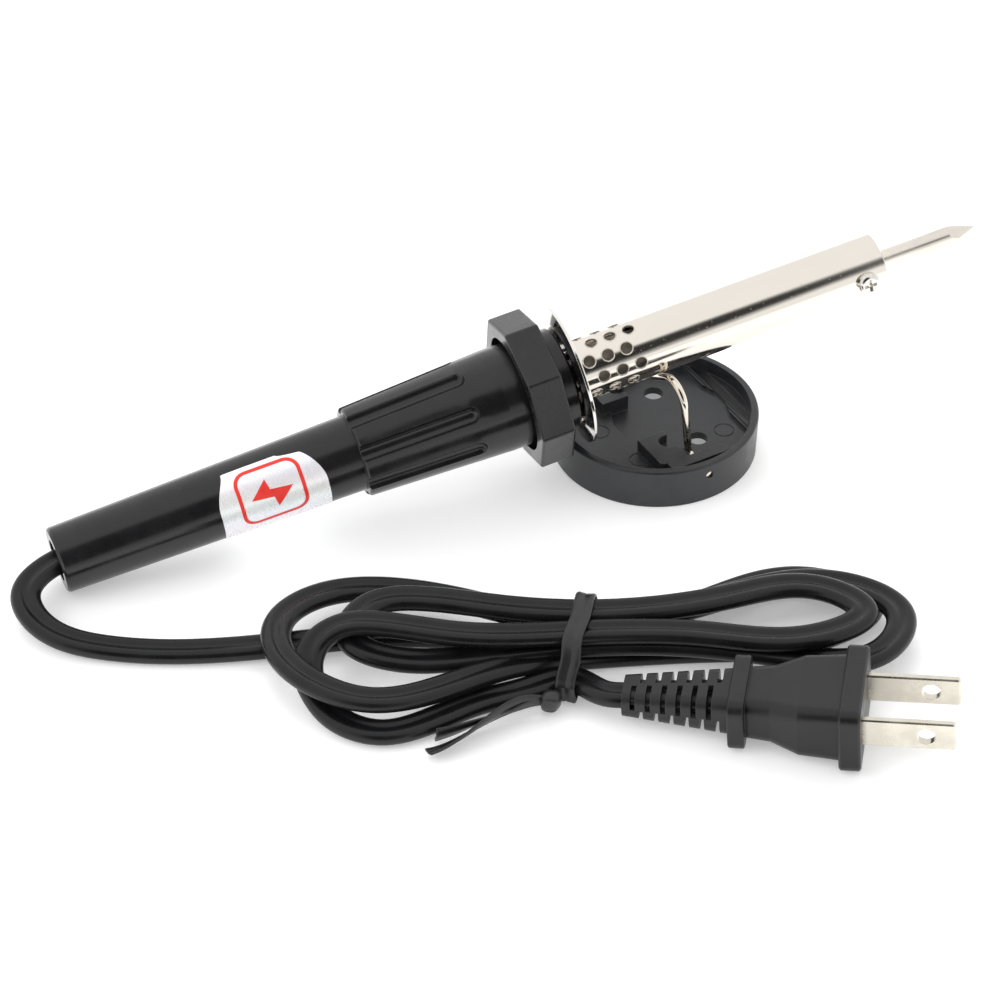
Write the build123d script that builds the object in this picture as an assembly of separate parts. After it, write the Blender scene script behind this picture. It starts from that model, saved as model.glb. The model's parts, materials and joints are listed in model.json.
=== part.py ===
from build123d import *
import math
import os

# Soldering iron stand with a corded pencil iron resting on it. Millimetres, +Z up.
# Origin: centre of the stand's base on the bench. The wire rest hinges about Y.
# The iron lies roughly along +X (tip) and -X (handle), its cord coiled on the -Y side.

# ---- stand ----
DISH_R_BOTTOM = 20.95
DISH_R_TOP = 21.3
DISH_H = 9.0
RIM_T = 1.5
FLOOR_Z = 6.0
RECESS_Z = 5.2
UNDERSIDE_Z = 3.6
RIM_ROUND = 0.55

WIRE_D = 1.6
HINGE_Z = 6.2
HINGE_CLEARANCE = 0.05
REST_LEAN_DEG = 4.0
LEG_Y = 13.1
LEG_TOP_Y = 11.65
SHOULDER_CORNER_H = 18.75
SADDLE_H = 11.45
SHOULDER_R = 4.3
SADDLE_R = 1.6
LEG_BEND_R = 1.7

BAR_Y = (16.2, 18.7)
BAR_X = (-7.1, 6.4)
BOSS_TOP = 8.7
STOP_FACE_X = -0.99
STOP_TOP = 7.8

SLOT_X = (15.8, 17.9)
RECESS_X_END = 14.8
RECESS_C_X = 3.8
RECESS_R = 12.2
FLOOR_HOLE_X = 5.0
FLOOR_HOLE_Y = 8.7
FLOOR_HOLE_R = 2.0
RING_MARKS = ((11.1, -9.1), (-11.9, 2.3), (-9.5, -9.6))

# ---- iron: distances back from the end of the tip, along its axis ----
TIP_TAPER = 6.3
BARREL_FRONT = 22.5
SCREW_AT = 27.0
VENTS_AT = (77.0, 79.0)
VENT_PITCH = 4.05
FLANGE_AT = 91.3
HANDLE_FRONT = 92.0
GUARD_FRONT = 95.4
GUARD_REAR = 102.6
GRIP_STRAIGHT_END = 106.5
GRIP_REAR = 137.3
LABEL_FRONT = 145.0
LABEL_REAR = 167.4
HANDLE_REAR = 200.2

# ---- iron: radii and thicknesses ----
TIP_R = 1.97
BARREL_R = 6.22
BARREL_T = 0.5
VENT_R = 1.2
VENT_ROWS = 10
VENT_ROW_0_DEG = 14.0
FLANGE_R = 14.5
FLANGE_T = 0.7
FLANGE_DISH = 0.5
NECK_R = 10.4
GRIP_R_FRONT = 10.65
GRIP_R_REAR = 9.35
TAIL_R_FRONT = 7.85
TAIL_R_REAR = 6.75
HANDLE_BORE_R = 6.9
TAIL_BORE_R = 5.0
GUARD_ACROSS_CORNERS = 31.8
GUARD_SIDES = 8
GUARD_CORNER_DEG = 42.0
GROOVE_COUNT = 8
GROOVE_0_DEG = 35.0
GROOVE_FRONT = 112.4
GROOVE_W = 3.9
GROOVE_DEPTH = 1.25
FLANGE_SCREW_PCR = 8.7
FLANGE_SCREWS = 3
SCREW_ANGLE_DEG = 9.0

# ---- where the iron lies ----
SADDLE_FROM_TIP = 72.5
IRON_YAW_DEG = -9.0
SADDLE_POINT_X = -1.38
SADDLE_POINT_Z = 26.03

# ---- cord and plug ----
CORD_W = 6.0
CORD_T = 3.0
LAYER = 3.15
CORD_LENGTHS = 24
COIL_YAW_DEG = -30.0
PLUG_YAW_DEG = -39.0
PLUG_TILT_DEG = 3.8
PLUG_START = (-48.7, -67.9, 4.45)
PLUG_FACE_AT = 46.0
BLADE_W = 6.35
BLADE_T = 1.5
BLADE_OUT = 17.5
BLADE_SPACING = 12.7
BLADE_HOLE_R = 1.85

os.makedirs("parts", exist_ok=True)


# ---------------------------------------------------------------- shared helpers
def turned(points):
    """Solid of revolution about X from (x, radius) points."""
    outline = Polyline(*[(x, r, 0) for x, r in points], close=True)
    return revolve(make_face(outline), Axis.X)


def tube(x0, x1, outer, inner):
    """Straight tube along X between x0 and x1."""
    return turned([(x0, inner), (x1, inner), (x1, outer), (x0, outer)])


def rod(x0, x1, radius, y=0.0, z=0.0):
    """Round bar along X between x0 and x1."""
    return Pos((x0 + x1) / 2, y, z) * Rot(0, 90, 0) * Cylinder(radius, abs(x1 - x0))


def at_angle(part, angle):
    """Turn a part built on the -Y side of the X axis to an angle measured from -Y towards +Z."""
    return Rot(-angle, 0, 0) * part


def box_between(x, y, z):
    """Box from three (low, high) pairs."""
    centre = Pos((x[0] + x[1]) / 2, (y[0] + y[1]) / 2, (z[0] + z[1]) / 2)
    return centre * Box(x[1] - x[0], y[1] - y[0], z[1] - z[0])


def iron_place():
    """Location that carries the iron from its own frame (tip at 0, +X forward) to the stand."""
    reach = HANDLE_REAR - SADDLE_FROM_TIP
    tilt = math.asin((SADDLE_POINT_Z - TAIL_R_REAR * math.cos(math.radians(8.7))) / reach)
    yaw = math.radians(IRON_YAW_DEG)
    forward = Vector(
        math.cos(tilt) * math.cos(yaw), math.cos(tilt) * math.sin(yaw), math.sin(tilt)
    )
    tip = Vector(SADDLE_POINT_X, 0, SADDLE_POINT_Z) + forward * SADDLE_FROM_TIP
    sideways = Vector(0, 0, 1).cross(forward)
    return Plane(origin=tip, x_dir=forward, z_dir=forward.cross(sideways)).location


IRON = iron_place()


# ---------------------------------------------------------------- stand
def bearing_side():
    """Bearing bar, stop rib and L block on the -Y side of the dish floor."""
    bar = box_between(BAR_X, (-BAR_Y[1], -BAR_Y[0]), (UNDERSIDE_Z, BOSS_TOP))
    bar = fillet(bar.edges().filter_by(Axis.Z).sort_by(Axis.X)[-2:], 0.9)
    block = box_between((-8.4, -2.3), (-BAR_Y[0], -6.8), (UNDERSIDE_Z, BOSS_TOP))
    block = chamfer(block.edges().filter_by(Axis.Z).sort_by(Axis.X)[:1], 0.6)
    notch = Pos(-3.3, -10.2, BOSS_TOP) * Cylinder(1.9, 4.4)
    mouth = box_between((-3.4, -2.0), (-12.1, -8.3), (BOSS_TOP - 2.2, BOSS_TOP + 1))
    rib = box_between((-2.6, STOP_FACE_X), (-15.6, -12.4), (UNDERSIDE_Z, STOP_TOP))
    side = bar + (block - notch - mouth) + rib
    bore = Pos(0, -17.4, HINGE_Z) * Rot(90, 0, 0) * Cylinder(WIRE_D / 2 + HINGE_CLEARANCE, 5)
    return side - bore


def base_dish():
    """Round open-bottomed dish with rim, recessed floor, chord slot and wire bearings."""
    outer = Cone(DISH_R_BOTTOM, DISH_R_TOP, DISH_H, align=(Align.CENTER, Align.CENTER, Align.MIN))
    outer = fillet(outer.edges().sort_by(Axis.Z)[-1], RIM_ROUND)
    inner_r = DISH_R_TOP - RIM_T
    well = Pos(0, 0, FLOOR_Z) * Cylinder(inner_r, 5, align=(Align.CENTER, Align.CENTER, Align.MIN))
    hollow = Cylinder(
        DISH_R_BOTTOM - RIM_T, UNDERSIDE_Z, align=(Align.CENTER, Align.CENTER, Align.MIN)
    )
    dish = outer - well - hollow

    recess_z = (RECESS_Z, FLOOR_Z + 1)
    recess = Pos(RECESS_C_X, 0, RECESS_Z) * Cylinder(
        RECESS_R, FLOOR_Z - RECESS_Z + 1, align=(Align.CENTER, Align.CENTER, Align.MIN)
    )
    recess += box_between((-2.2, RECESS_X_END), (-16.0, 16.0), recess_z)
    reach = Cylinder(inner_r, 20)
    dish -= recess & reach
    slot = box_between(SLOT_X, (-inner_r, inner_r), (UNDERSIDE_Z - 1, FLOOR_Z + 1))
    dish -= slot & Cylinder(inner_r - 0.01, 40)
    step = box_between((15.25, 15.45), (-12.0, 12.0), (FLOOR_Z - 0.35, FLOOR_Z + 1))
    dish -= step

    for sign in (-1, 1):
        hole = Pos(FLOOR_HOLE_X, sign * FLOOR_HOLE_Y, FLOOR_Z) * Cylinder(FLOOR_HOLE_R, 8)
        dish -= hole
        side = bearing_side()
        if sign > 0:
            side = mirror(side, Plane.XZ)
        dish += side & Cylinder(inner_r + 0.3, 40)
        pivot = Pos(0, sign * 19, HINGE_Z) * Rot(90, 0, 0)
        dish -= pivot * Cylinder(WIRE_D / 2 + HINGE_CLEARANCE, 6.6)
    for x, y in RING_MARKS:
        ring = Cylinder(2.15, 0.4) - Cylinder(1.9, 0.6)
        dish -= Pos(x, y, (RECESS_Z if x > 0 else FLOOR_Z)) * ring
    return dish


def wire_rest():
    """M-shaped bail: two hinge ends, two legs, two shoulders and the saddle between them."""
    end_y = DISH_R_TOP - 0.55
    half = [
        (-end_y, 0),
        (-LEG_Y, 0),
        (-LEG_TOP_Y, SHOULDER_CORNER_H),
        (0, SADDLE_H),
    ]
    points = half + [(-y, h) for y, h in reversed(half[:-1])]
    radii = {1: LEG_BEND_R, 2: SHOULDER_R, 3: SADDLE_R, 4: SHOULDER_R, 5: LEG_BEND_R}
    line = Polyline(*[(0, y, h) for y, h in points])
    for index, radius in radii.items():
        y, h = points[index]
        corner = line.vertices().sort_by_distance((0, y, h))[0]
        line = fillet(corner, radius)
    start = Plane(origin=(0, -end_y, 0), z_dir=(0, 1, 0))
    wire = sweep(start * Circle(WIRE_D / 2), path=line)
    return Pos(0, 0, HINGE_Z) * Rot(0, -REST_LEAN_DEG, 0) * wire


# ---------------------------------------------------------------- iron, front end
def soldering_tip():
    """Round shank ending in a four-faced point."""
    tip = rod(-84.0, 0, TIP_R)
    lean = math.degrees(math.atan(TIP_R / TIP_TAPER))
    for turn in range(4):
        plate = Pos(0, 0, 4) * Box(40, 12, 8)
        tip -= Rot(45 + 90 * turn, 0, 0) * Rot(0, lean, 0) * plate
    return tip


def barrel_tube():
    """Thin tube with staggered vent holes, a set screw hole and a flared rear end."""
    rear = -FLANGE_AT - FLANGE_T / 2
    tube_body = tube(rear, -BARREL_FRONT, BARREL_R, BARREL_R - BARREL_T)
    flare = tube(rear - 0.33, rear, BARREL_R + 1.0, BARREL_R - BARREL_T)
    barrel = tube_body + flare
    step = 360 / VENT_ROWS
    for row in range(VENT_ROWS):
        for number in range(3):
            x = -VENTS_AT[row % 2] - VENT_PITCH * number
            hole = Pos(x, -BARREL_R, 0) * Rot(90, 0, 0) * Cylinder(VENT_R, 4)
            barrel -= at_angle(hole, VENT_ROW_0_DEG + step * row)
    hole = Pos(-SCREW_AT, -BARREL_R, 0) * Rot(90, 0, 0) * Cylinder(1.3, 4)
    return barrel - at_angle(hole, SCREW_ANGLE_DEG)


def barrel_bushing():
    """Ring inside the barrel's mouth that guides the tip and takes the set screw."""
    outer = BARREL_R - BARREL_T - 0.02
    front = -BARREL_FRONT + 0.55
    ring = turned(
        [
            (-33.0, TIP_R + 0.05),
            (front, TIP_R + 0.05),
            (front, outer - 0.9),
            (front - 0.5, outer - 0.1),
            (front - 0.8, outer),
            (-33.0, outer),
        ]
    )
    hole = Pos(-SCREW_AT, -5, 0) * Rot(90, 0, 0) * Cylinder(1.3, 8)
    return ring - at_angle(hole, SCREW_ANGLE_DEG)


def tip_set_screw():
    """Pan head screw with a cross recess, standing on the barrel."""
    seat = BARREL_R + 0.08
    shank = Pos(0, 0, -(seat - TIP_R - 0.08) / 2) * Cylinder(1.25, seat - TIP_R - 0.08)
    head = Pos(0, 0, 0.8) * Cylinder(2.3, 1.6)
    head = fillet(head.edges().sort_by(Axis.Z)[-1], 0.9)
    cross = Box(2.6, 0.62, 1.6) + Box(0.62, 2.6, 1.6)
    screw = shank + head - Pos(0, 0, 1.55) * cross
    washer_face = Pos(-SCREW_AT, -seat, 0) * Rot(90, 0, 0)
    return at_angle(washer_face * screw, SCREW_ANGLE_DEG)


def heater_core():
    """Ceramic tube that the shank runs in."""
    return tube(-88.0, -33.2, 3.4, TIP_R + 0.1)


def heater_winding():
    """Resistance wire wound on the core."""
    wire_r = 0.22
    coil = Helix(pitch=2.4, height=48.0, radius=3.4 + wire_r + 0.03)
    start = Plane(origin=coil @ 0, z_dir=coil % 0)
    wound = sweep(start * Circle(wire_r), path=coil, is_frenet=True)
    return Pos(-84.5, 0, 0) * Rot(0, 90, 0) * wound


def mica_sleeve():
    """Thin insulating sleeve over the winding."""
    return tube(-87.6, -33.6, 4.25, 3.98)


def ceramic_spacer():
    """Disc that centres the core in the barrel and passes the two leads."""
    outer = BARREL_R - BARREL_T - 0.05
    disc = tube(-91.2, -88.1, outer, 0.9)
    for y in (-2.6, 2.6):
        disc -= rod(-92, -87, 0.45, y)
    return disc


def flange_disc():
    """Slightly dished disc held between the barrel and the handle."""
    front = -FLANGE_AT + FLANGE_T / 2
    rear = -FLANGE_AT - FLANGE_T / 2
    disc = turned(
        [
            (rear, BARREL_R + 0.04),
            (front, BARREL_R + 0.04),
            (front, 11.0),
            (front + FLANGE_DISH, FLANGE_R - 0.15),
            (front + FLANGE_DISH - 0.2, FLANGE_R),
            (front + FLANGE_DISH - FLANGE_T, FLANGE_R - 0.1),
            (rear, 11.2),
        ]
    )
    for number in range(FLANGE_SCREWS):
        hole = rod(rear - 1, front + 1, 1.32, -FLANGE_SCREW_PCR)
        disc -= at_angle(hole, 360 / FLANGE_SCREWS * number + 75)
    return disc


def flange_screws():
    """Pan head screws that fix the flange to the handle."""
    front = -FLANGE_AT + FLANGE_T / 2
    screws = []
    for number in range(FLANGE_SCREWS):
        head = Pos(0, 0, 0.65) * Cylinder(2.1, 1.3)
        head = fillet(head.edges().sort_by(Axis.Z)[-1], 0.7)
        cross = Box(2.4, 0.55, 1.2) + Box(0.55, 2.4, 1.2)
        screw = head - Pos(0, 0, 1.3) * cross + Pos(0, 0, -3.9) * Cylinder(1.25, 7.9)
        placed = Pos(front + 0.02, -FLANGE_SCREW_PCR, 0) * Rot(0, 90, 0) * screw
        screws.append(at_angle(placed, 360 / FLANGE_SCREWS * number + 75))
    return screws


def lead_wires():
    """Bare wires from the winding's ends back to the crimps."""
    return [rod(-123.0, -88.0, 0.4, y) for y in (-2.6, 2.6)]


def lead_sleeves():
    """Woven sleeves over the lead wires."""
    sleeves = []
    for y in (-2.6, 2.6):
        sleeves.append(Pos(0, y, 0) * tube(-118.5, -91.6, 1.0, 0.46))
    return sleeves


def crimp_connectors():
    """Crimped ferrules joining lead wires to the cord's conductors."""
    ferrules = []
    for y in (-2.6, 2.6):
        ferrule = tube(-130.0, -119.0, 1.7, 0.46)
        waist = Pos(-124.5, 0, 1.95) * Box(2.6, 5, 1) + Pos(-124.5, 0, -1.95) * Box(2.6, 5, 1)
        ferrules.append(Pos(0, y, 0) * (ferrule - waist))
    return ferrules


# ---------------------------------------------------------------- iron, handle
def grip_groove(angle):
    """Cutter for one ball-ended groove that runs out of the rear of the grip."""
    slope = (GRIP_R_FRONT - GRIP_R_REAR) / (GRIP_REAR - GRIP_STRAIGHT_END)
    run = GRIP_REAR - GROOVE_FRONT + 4
    radius = GROOVE_W / 2
    front_x = -(GROOVE_FRONT + radius)
    surface = GRIP_R_FRONT - slope * (GROOVE_FRONT + radius - GRIP_STRAIGHT_END)
    cutter = Pos(-run / 2, 0, 0) * Rot(0, 90, 0) * Cylinder(radius, run) + Sphere(radius)
    height = surface - GROOVE_DEPTH + radius
    lay = Rot(0, 0, math.degrees(math.atan(-slope)))
    return at_angle(Pos(front_x, -height, 0) * lay * cutter, angle)


def handle_shell():
    """Hollow handle: neck, fluted grip, and a tapering tail with a slot for the cord."""
    front = -HANDLE_FRONT
    body = turned(
        [
            (front, 0),
            (front, NECK_R - 0.4),
            (front - 0.4, NECK_R),
            (-GUARD_FRONT - 0.2, NECK_R),
            (-GUARD_FRONT - 0.6, GRIP_R_FRONT),
            (-GRIP_STRAIGHT_END, GRIP_R_FRONT),
            (-GRIP_REAR + 0.4, GRIP_R_REAR),
            (-GRIP_REAR, GRIP_R_REAR - 0.4),
            (-GRIP_REAR, TAIL_R_FRONT),
            (-HANDLE_REAR + 0.5, TAIL_R_REAR + 0.02),
            (-HANDLE_REAR, TAIL_R_REAR - 0.35),
            (-HANDLE_REAR, 0),
        ]
    )
    for number in range(GROOVE_COUNT):
        body -= grip_groove(GROOVE_0_DEG + 360 / GROOVE_COUNT * number)
    body -= rod(-GRIP_REAR - 1, front + 1, HANDLE_BORE_R)
    body -= rod(-HANDLE_REAR + 9.0, -GRIP_REAR, TAIL_BORE_R)
    body -= rod(-HANDLE_REAR - 1, -HANDLE_REAR + 9.5, 4.35)
    body -= rod(front - 1.2, front + 1, BARREL_R + 1.15)
    for number in range(FLANGE_SCREWS):
        pilot = rod(front - 9, front + 1, 1.28, -FLANGE_SCREW_PCR)
        body -= at_angle(pilot, 360 / FLANGE_SCREWS * number + 75)
    return body


def finger_guard():
    """Eight-sided ring with softened edges and a wide opening at its rear."""
    length = GUARD_REAR - GUARD_FRONT
    ring = extrude(RegularPolygon(GUARD_ACROSS_CORNERS / 2, GUARD_SIDES), length)
    ring = fillet(ring.edges().filter_by(Axis.Z), 1.0)
    ring = fillet(ring.faces().sort_by(Axis.Z)[0].edges(), 0.55)
    ring = fillet(ring.faces().sort_by(Axis.Z)[-1].edges(), 0.55)
    ring = Rot(0, 0, -90) * ring
    ring = Pos(-GUARD_REAR, 0, 0) * Rot(0, 90, 0) * ring
    ring -= rod(-GUARD_REAR - 1, -GUARD_FRONT + 1, GRIP_R_FRONT + 0.04)
    ring -= rod(-GUARD_REAR - 1, -GUARD_REAR + 3.0, GRIP_R_FRONT + 1.35)
    ring -= rod(-GUARD_FRONT - 0.9, -GUARD_FRONT + 1, GRIP_R_FRONT + 1.2)
    return at_angle(ring, GUARD_CORNER_DEG)


def rating_label():
    """Foil label wrapped part way round the tail."""
    slope = (TAIL_R_FRONT - TAIL_R_REAR) / (HANDLE_REAR - GRIP_REAR)
    r_front = TAIL_R_FRONT - slope * (LABEL_FRONT - GRIP_REAR)
    r_rear = TAIL_R_FRONT - slope * (LABEL_REAR - GRIP_REAR)
    gap = 0.03
    foil = 0.12
    sleeve = turned(
        [
            (-LABEL_REAR, r_rear + gap),
            (-LABEL_FRONT, r_front + gap),
            (-LABEL_FRONT, r_front + gap + foil),
            (-LABEL_REAR, r_rear + gap + foil),
        ]
    )
    middle = -(LABEL_FRONT + LABEL_REAR) / 2
    length = LABEL_REAR - LABEL_FRONT
    window = extrude(RectangleRounded(length, 15.2, 3.8), 12)
    half = at_angle(Pos(middle, 0, 0) * Rot(90, 0, 0) * window, -10)
    return sleeve & half


def cord_profile(width=CORD_W, thickness=CORD_T):
    """Flat two-lobed section of the flex, wide side along X."""
    lobe = thickness / 2
    offset = width / 2 - lobe
    lobes = Pos(-offset, 0) * Circle(lobe) + Pos(offset, 0) * Circle(lobe)
    return lobes + Rectangle(2 * offset, thickness * 0.72)


def cord_tail():
    """End of the flex inside the handle, its two cores split and led to the crimps."""
    flat = extrude(Plane.YZ * cord_profile(), -39.0)
    tail = Pos(-152.5, 0, 0) * flat
    for sign in (-1, 1):
        start = (-130.2, sign * 2.6, 0)
        stop = (-153.0, sign * (CORD_W - CORD_T) / 2, 0)
        path = Spline(start, stop, tangents=[(-1, 0, 0), (-1, 0, 0)])
        core = Plane(origin=start, z_dir=(-1, 0, 0)) * Circle(1.38)
        tail += sweep(core, path=path)
    return tail


def cord_bush():
    """Strain-relief bush set back in the rear bore, round the flex."""
    outer = rod(-HANDLE_REAR + 3.0, -HANDLE_REAR + 8.9, 4.3)
    hole = extrude(Plane.YZ * cord_profile(CORD_W + 0.5, CORD_T + 0.5), -12)
    return outer - Pos(-HANDLE_REAR + 11, 0, 0) * hole


# ---------------------------------------------------------------- cord, tie and plug
COIL = Location((0, 0, 0), (0, 0, COIL_YAW_DEG))
TIE_AT = (-17.0, -70.0)
TIE_TURN_DEG = -12.0
COLUMN = CORD_W + 0.35
TIE_T = 0.6
TIE_W = 4.0


def tie_point(column, layer, along=0.0):
    """A place in the stack of strands inside the tie, in the coil's frame."""
    turn = math.radians(TIE_TURN_DEG)
    x = TIE_AT[0] + along * math.cos(turn) - column * COLUMN * math.sin(turn)
    y = TIE_AT[1] + along * math.sin(turn) + column * COLUMN * math.cos(turn)
    return (x, y, CORD_T / 2 + TIE_T + 0.3 + layer * LAYER)


def in_coil_frame(point):
    """Row-frame point to the coil's own frame (X along the coil, Y away from its front)."""
    turned_back = COIL.inverse() * Location(point)
    return tuple(turned_back.position)


def handle_exit():
    """Points on the handle's axis where the flex leaves it, in the coil's frame."""
    places = [IRON * Location((-HANDLE_REAR + x, 0, 0)) for x in (6.4, 2.0)]
    return [in_coil_frame(place.position) for place in places]


def cord_waypoints():
    """Centre line of the flex from handle to plug, in the coil's frame."""
    low = CORD_T / 2 + 0.2
    second = low + LAYER
    third = low + 2 * LAYER
    lead = [
        *handle_exit(),
        (-124.6, -53.0, 4.6),
        (-120.5, -61.5, 2.9),
        (-108.0, -66.3, low),
        (-78.0, -66.0, low),
        (-50.0, -62.5, low),
        tie_point(1, 0),
    ]
    right_1 = [(12.0, -50.5, low), (31.0, -46.0, low), (40.5, -53.5, low), (32.0, -62.5, low)]
    left_1 = [
        (8.0, -67.0, low),
        tie_point(0, 0),
        (-24.0, -72.4, 3.7),
        (-31.0, -75.8, second + 0.1),
        (-42.0, -81.6, second + 0.4),
        (-57.0, -86.3, second + 1.2),
        (-68.0, -81.5, second + 1.8),
        (-74.4, -72.0, second + 1.6),
        (-74.0, -62.0, second + 0.8),
        (-66.0, -54.3, second + 0.3),
        (-54.0, -52.5, second),
        (-36.0, -57.0, second),
        tie_point(1, 1),
    ]
    right_2 = [(14.0, -54.0, second), (34.0, -50.5, second), (46.0, -60.0, second)]
    back_2 = [(41.0, -71.5, second), (20.0, -71.5, second), tie_point(0, 1)]
    left_2 = [
        (-38.0, -73.2, second + 0.4),
        (-52.0, -74.3, second + 1.0),
        (-60.5, -69.5, third - 1.0),
        (-58.0, -62.0, third),
        (-47.0, -59.0, third),
        (-32.0, -61.5, third),
        tie_point(1, 2),
    ]
    right_3 = [(14.0, -58.0, third), (31.0, -56.0, third), (38.5, -63.0, third)]
    back_3 = [(30.0, -69.8, third), (8.0, -69.5, third), tie_point(0, 2)]
    fold = [
        (-40.0, -71.2, third + 1.5),
        (-55.0, -69.3, third + 2.4),
        (-62.0, -69.4, third + 2.0),
        (-67.0, -71.8, third - 0.2),
        (-68.6, -76.4, 5.3),
        (-67.0, -81.2, 3.2),
        (-62.0, -87.7, low + 0.2),
        (-54.0, -90.8, low + 0.1),
        (-45.5, -87.8, low + 0.1),
        (-35.2, -82.0, low + 0.2),
        (-26.5, -78.8, low + 0.3),
        tie_point(-1, 0),
    ]
    return lead + right_1 + left_1 + right_2 + back_2 + left_2 + right_3 + back_3 + fold


PLUG = Location(PLUG_START, (0, -PLUG_TILT_DEG, PLUG_YAW_DEG), Extrinsic.XYZ)


def cord_line():
    """Smooth centre line of the flex in the row frame."""
    points = [(COIL * Location(p)).position for p in cord_waypoints()]
    points += [(PLUG * Location((x, 0, 0))).position for x in (-3.0, 1.0, 6.0, 12.0)]
    return Spline(*points)


def level_plane(line, where):
    """Plane across a line with its X direction level."""
    along = line % where
    return Plane(origin=line @ where, x_dir=Vector(0, 0, 1).cross(along), z_dir=along)


def power_cord():
    """Flat flex swept in lengths along its centre line, wide side level, sewn into one solid."""
    line = cord_line().edge()
    skin = []
    for number in range(CORD_LENGTHS):
        part = line.trim(number / CORD_LENGTHS, (number + 1) / CORD_LENGTHS)
        sections = [level_plane(part, end) * cord_profile() for end in (0, 1)]
        faces = sweep(sections, path=part, multisection=True).faces()
        caps = [min(faces, key=lambda f: (f.center() - (part @ end)).length) for end in (0, 1)]
        skin += [face for face in faces if face not in caps]
        if number == 0:
            skin.append(caps[0])
        if number == CORD_LENGTHS - 1:
            skin.append(caps[1])
    return Solid(Shell(skin))


def cord_tie():
    """Flat band round the strands with a twisted knot and two tails."""
    low_y = -11.2
    far_y = 10.9
    top = 3 * LAYER + TIE_T + 0.6
    outline = Polyline(
        (low_y, TIE_T),
        (low_y, 4.2),
        (-9.8, 5.2),
        (-4.6, top),
        (far_y, top),
        (far_y, TIE_T),
        close=True,
    )
    inside = make_face(outline)
    band = offset(inside, TIE_T, kind=Kind.ARC) - inside
    band = extrude(Plane.YZ * band, TIE_W / 2, both=True)
    knot = fillet(Box(4.0, 4.4, 4.2).edges(), 1.1)
    tie = band + Pos(-2.2, low_y - 2.6, 3.0) * Rot(0, 18, 12) * knot
    tails = (
        ((-3.4, -14.3, 3.1), (-11.8, -20.4, 2.7), (-21.4, -27.6, 2.4), (0, 0.1, 1)),
        ((-3.4, -15.0, 2.9), (-11.5, -22.4, 2.9), (-22.2, -32.0, 1.6), (0.4, -0.6, 0.8)),
    )
    for start, middle, stop, flat in tails:
        path = Spline(start, middle, stop)
        ribbon = Plane(origin=start, x_dir=flat, z_dir=path % 0) * Rectangle(3.9, 0.7)
        tie += sweep(ribbon, path=path)
    place = Location((TIE_AT[0], TIE_AT[1], 0), (0, 0, TIE_TURN_DEG))
    return COIL * place * tie


def plug_section(x, width, height, corner):
    """Rounded cross-section of the plug at a distance from its cord end."""
    return Plane(origin=(x, 0, 0), x_dir=(0, 1, 0), z_dir=(1, 0, 0)) * RectangleRounded(
        width, height, corner
    )


BRIDGE_X = (36.0, 44.6)
BRIDGE_W = 17.0
BRIDGE_H = 8.4
BLADE_BACK_X = 32.0


def plug_body():
    """Moulded plug: ribbed strain relief, small flange, waisted grip and front flange."""
    relief = loft([plug_section(0, 8.2, 5.4, 2.0), plug_section(21.0, 12.6, 8.6, 2.6)])
    collar = fillet(extrude(plug_section(20.6, 17.4, 11.2, 2.6), 3.2).edges(), 0.4)
    stations = (
        (23.6, 13.6, 9.0, 2.8),
        (28.5, 14.6, 9.6, 2.8),
        (34.0, 18.6, 11.6, 2.6),
        (42.0, 19.6, 12.2, 2.4),
    )
    grip = loft([plug_section(*station) for station in stations], ruled=True)
    face = extrude(plug_section(41.8, 22.6, 14.2, 2.2), PLUG_FACE_AT - 41.8)
    face = chamfer(face.edges().filter_by(GeomType.LINE).filter_by(Axis.X, reverse=True), 0.4)
    body = relief + collar + grip + face
    for number in range(6):
        x = 2.9 + 2.95 * number
        for sign in (-1, 1):
            for face_sign in (-1, 1):
                shift = 0.75 * sign * face_sign
                rib = box_between((x + shift - 0.5, x + shift + 0.5), (0.35, 9), (-9, 9))
                core = extrude(plug_section(0, 7.0, 4.2, 1.9), 30)
                half = box_between((-1, 30), (0, 9), (0, 9))
                cutter = (rib - core) & half
                if sign < 0:
                    cutter = mirror(cutter, Plane.XZ)
                if face_sign < 0:
                    cutter = mirror(cutter, Plane.XY)
                body -= cutter
    flex = Plane.YZ * cord_profile(CORD_W + 0.3, CORD_T + 0.3)
    mouth = Plane.YZ * cord_profile(CORD_W + 1.2, CORD_T + 1.0)
    body -= extrude(flex, 14.0) + extrude(mouth, 2.4)
    gap = 0.05
    room_w = BRIDGE_W / 2 + gap
    room_h = BRIDGE_H / 2 + gap
    body -= box_between(
        (BRIDGE_X[0] - gap, BRIDGE_X[1] + gap), (-room_w, room_w), (-room_h, room_h)
    )
    for sign in (-1, 1):
        y = sign * BLADE_SPACING / 2
        half_t = BLADE_T / 2 + gap
        half_w = BLADE_W / 2 + gap
        body -= box_between((BLADE_BACK_X - gap, 50), (y - half_t, y + half_t), (-half_w, half_w))
    return PLUG * body


def plug_bridge():
    """Hard insert that holds the two blades apart."""
    bridge = box_between(BRIDGE_X, (-BRIDGE_W / 2, BRIDGE_W / 2), (-BRIDGE_H / 2, BRIDGE_H / 2))
    for sign in (-1, 1):
        y = sign * BLADE_SPACING / 2
        half_t = BLADE_T / 2 + 0.04
        half_w = BLADE_W / 2 + 0.04
        bridge -= box_between((30, 50), (y - half_t, y + half_t), (-half_w, half_w))
    bridge -= Pos(40.3, 0, 0) * Cylinder(1.6, 20)
    return PLUG * bridge


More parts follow.
